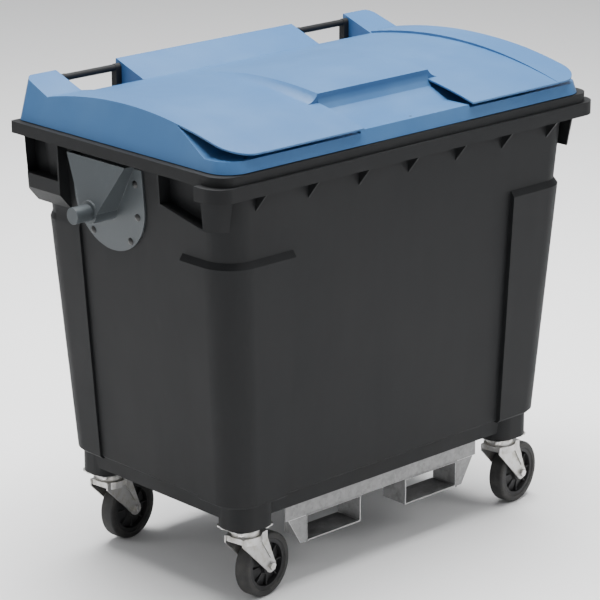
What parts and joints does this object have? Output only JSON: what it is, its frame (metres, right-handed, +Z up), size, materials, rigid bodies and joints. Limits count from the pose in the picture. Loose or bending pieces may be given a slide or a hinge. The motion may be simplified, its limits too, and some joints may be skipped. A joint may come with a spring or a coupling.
{
  "type": "four-wheel refuse container",
  "caption": "Four-wheel refuse container with a hinged flat lid, end lifting trunnions, swivel castors and fork pockets under the floor.",
  "frame": {"origin": "on the floor under the middle of the container", "axes": "+X along the front to the right, +Y to the rear (hinge side), +Z up"},
  "size_m": [1.37, 0.755, 1.1955],
  "materials": {
    "body_plastic": "matt charcoal moulded polyethylene with a fine texture",
    "lid_plastic": "blue moulded polyethylene, satin",
    "rubber_black": "black rubber",
    "black_nylon": "black nylon",
    "bracket_paint": "grey powder-coated steel",
    "dark_screw": "blackened screw",
    "galvanised_steel": "galvanised sheet steel",
    "zinc_steel": "zinc-plated pressed steel",
    "zinc_fastener": "bright zinc-plated steel",
    "tyre_rubber": "black solid rubber",
    "wheel_centre": "black moulded wheel centre"
  },
  "bodies": {
    "tub": {"castor_bolts": "zinc_fastener", "castor_fl_kingpin": "zinc_fastener", "castor_fl_plate": "zinc_steel", "castor_fr_kingpin": "zinc_fastener", "castor_fr_plate": "zinc_steel", "castor_inserts": "zinc_fastener", "castor_rl_kingpin": "zinc_fastener", "castor_rl_plate": "zinc_steel", "castor_rr_kingpin": "zinc_fastener", "castor_rr_plate": "zinc_steel", "drain_plug": "black_nylon", "drain_plug_seal": "rubber_black", "fork_frame_bolts": "zinc_fastener", "fork_frame_front": "galvanised_steel", "fork_frame_rear": "galvanised_steel", "fork_pocket_front_left": "galvanised_steel", "fork_pocket_front_right": "galvanised_steel", "fork_pocket_gussets": "galvanised_steel", "fork_pocket_rear_left": "galvanised_steel", "fork_pocket_rear_right": "galvanised_steel", "hinge_pins": "black_nylon", "rear_handle_left": "body_plastic", "rear_handle_right": "body_plastic", "rear_handle_screws": "zinc_fastener", "trunnion_bracket_left": "bracket_paint", "trunnion_bracket_right": "bracket_paint", "trunnion_pin_left": "bracket_paint", "trunnion_pin_right": "bracket_paint", "trunnion_screws": "dark_screw", "tub": "body_plastic"},
    "lid": {"lid": "lid_plastic", "lid_buffers": "rubber_black"},
    "swivel_fl": {"castor_fl_fork": "zinc_steel", "castor_fl_balls": "zinc_fastener", "castor_fl_axle": "zinc_fastener", "castor_fl_nut": "zinc_fastener"},
    "wheel_fl": {"castor_fl_core": "wheel_centre", "castor_fl_tyre": "tyre_rubber"},
    "swivel_fr": {"castor_fr_fork": "zinc_steel", "castor_fr_balls": "zinc_fastener", "castor_fr_axle": "zinc_fastener", "castor_fr_nut": "zinc_fastener"},
    "wheel_fr": {"castor_fr_core": "wheel_centre", "castor_fr_tyre": "tyre_rubber"},
    "swivel_rl": {"castor_rl_fork": "zinc_steel", "castor_rl_balls": "zinc_fastener", "castor_rl_axle": "zinc_fastener", "castor_rl_nut": "zinc_fastener"},
    "wheel_rl": {"castor_rl_core": "wheel_centre", "castor_rl_tyre": "tyre_rubber"},
    "swivel_rr": {"castor_rr_fork": "zinc_steel", "castor_rr_balls": "zinc_fastener", "castor_rr_axle": "zinc_fastener", "castor_rr_nut": "zinc_fastener"},
    "wheel_rr": {"castor_rr_core": "wheel_centre", "castor_rr_tyre": "tyre_rubber"}
  },
  "joints": [
    {"name": "lid_hinge", "type": "hinge", "parent": "tub", "child": "lid", "pos_m": [0, 0.359, 1.171], "axis": [-1, 0, 0], "range_deg": [0, 250]},
    {"name": "swivel_fl", "type": "hinge", "parent": "tub", "child": "swivel_fl", "pos_m": [-0.44, -0.248, 0.18], "axis": [0, 0, 1], "continuous": true},
    {"name": "roll_fl", "type": "hinge", "parent": "swivel_fl", "child": "wheel_fl", "pos_m": [-0.3786, -0.23937, 0.08], "axis": [-0.1392, 0.9903, 0], "continuous": true},
    {"name": "swivel_fr", "type": "hinge", "parent": "tub", "child": "swivel_fr", "pos_m": [0.44, -0.248, 0.18], "axis": [0, 0, 1], "continuous": true},
    {"name": "roll_fr", "type": "hinge", "parent": "swivel_fr", "child": "wheel_fr", "pos_m": [0.5014, -0.23937, 0.08], "axis": [-0.1392, 0.9903, 0], "continuous": true},
    {"name": "swivel_rl", "type": "hinge", "parent": "tub", "child": "swivel_rl", "pos_m": [-0.44, 0.248, 0.18], "axis": [0, 0, 1], "continuous": true},
    {"name": "roll_rl", "type": "hinge", "parent": "swivel_rl", "child": "wheel_rl", "pos_m": [-0.3786, 0.25663, 0.08], "axis": [-0.1392, 0.9903, 0], "continuous": true},
    {"name": "swivel_rr", "type": "hinge", "parent": "tub", "child": "swivel_rr", "pos_m": [0.44, 0.248, 0.18], "axis": [0, 0, 1], "continuous": true},
    {"name": "roll_rr", "type": "hinge", "parent": "swivel_rr", "child": "wheel_rr", "pos_m": [0.5014, 0.25663, 0.08], "axis": [-0.1392, 0.9903, 0], "continuous": true}
  ]
}
